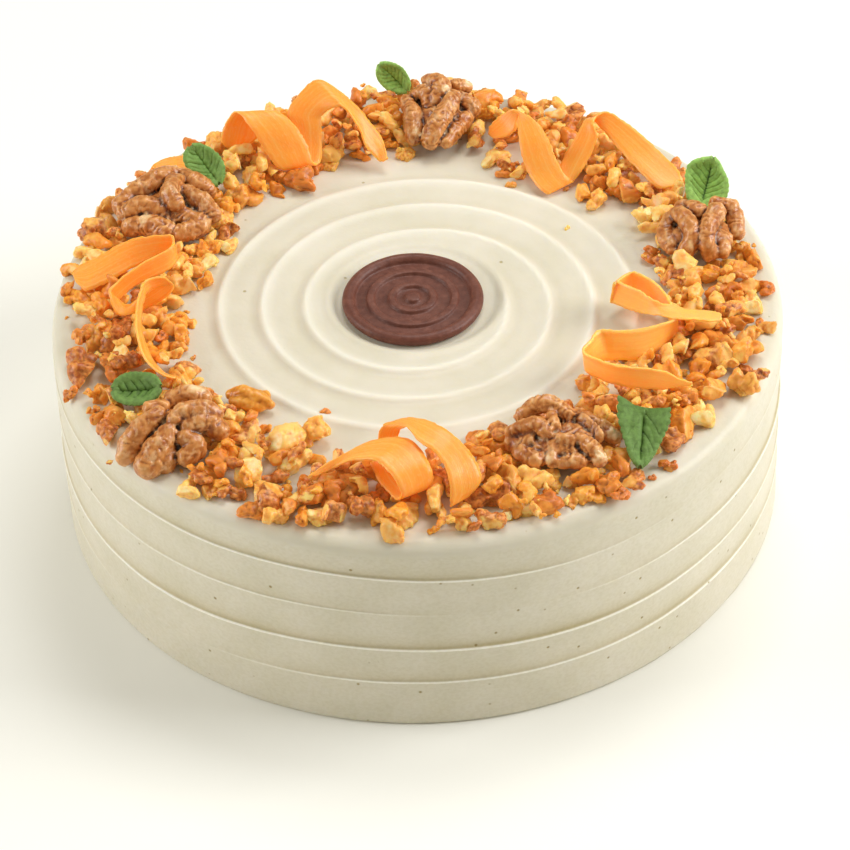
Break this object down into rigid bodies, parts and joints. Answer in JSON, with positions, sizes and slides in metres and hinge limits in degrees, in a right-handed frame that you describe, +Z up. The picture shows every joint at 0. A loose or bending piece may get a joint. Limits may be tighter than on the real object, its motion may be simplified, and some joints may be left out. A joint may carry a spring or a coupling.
{
  "type": "carrot cake",
  "caption": "Round frosted carrot cake with a chocolate disc in the middle of its top and a wreath of chopped nuts that carries walnut halves, mint leaves and carrot ribbons.",
  "frame": {"origin": "centre of the cake's flat underside", "axes": "+Z up, -Y towards the side that the picture shows in front"},
  "size_m": [0.2403, 0.2403, 0.0991],
  "materials": {
    "frosting": "soft cream cheese frosting, satin",
    "chocolate": "moulded milk chocolate, satin",
    "chopped_walnut": "broken nut, slightly oily",
    "walnut": "walnut skin, slightly oily",
    "carrot": "moist raw carrot",
    "mint": "green fondant, matt"
  },
  "bodies": {
    "root": {"frosted_cake": "frosting", "chocolate_disc": "chocolate", "chopped_walnuts": "chopped_walnut", "walnut_piece": "chopped_walnut", "walnut_half_back_left": "walnut", "walnut_half_back": "walnut", "walnut_half_right_back": "walnut", "walnut_half_right_front": "walnut", "walnut_half_left_front": "walnut", "carrot_ribbon_front_left": "carrot", "carrot_ribbon_front_right": "carrot", "carrot_ribbon_right": "carrot", "carrot_ribbon_left": "carrot", "carrot_ribbon_back_left": "carrot", "carrot_ribbon_back_right": "carrot", "carrot_ribbon_back_flat": "carrot", "mint_leaf_back": "mint", "mint_leaf_back_left": "mint", "mint_leaf_right_back": "mint", "mint_leaf_right_front": "mint", "mint_leaf_left_front": "mint"}
  },
  "joints": []
}
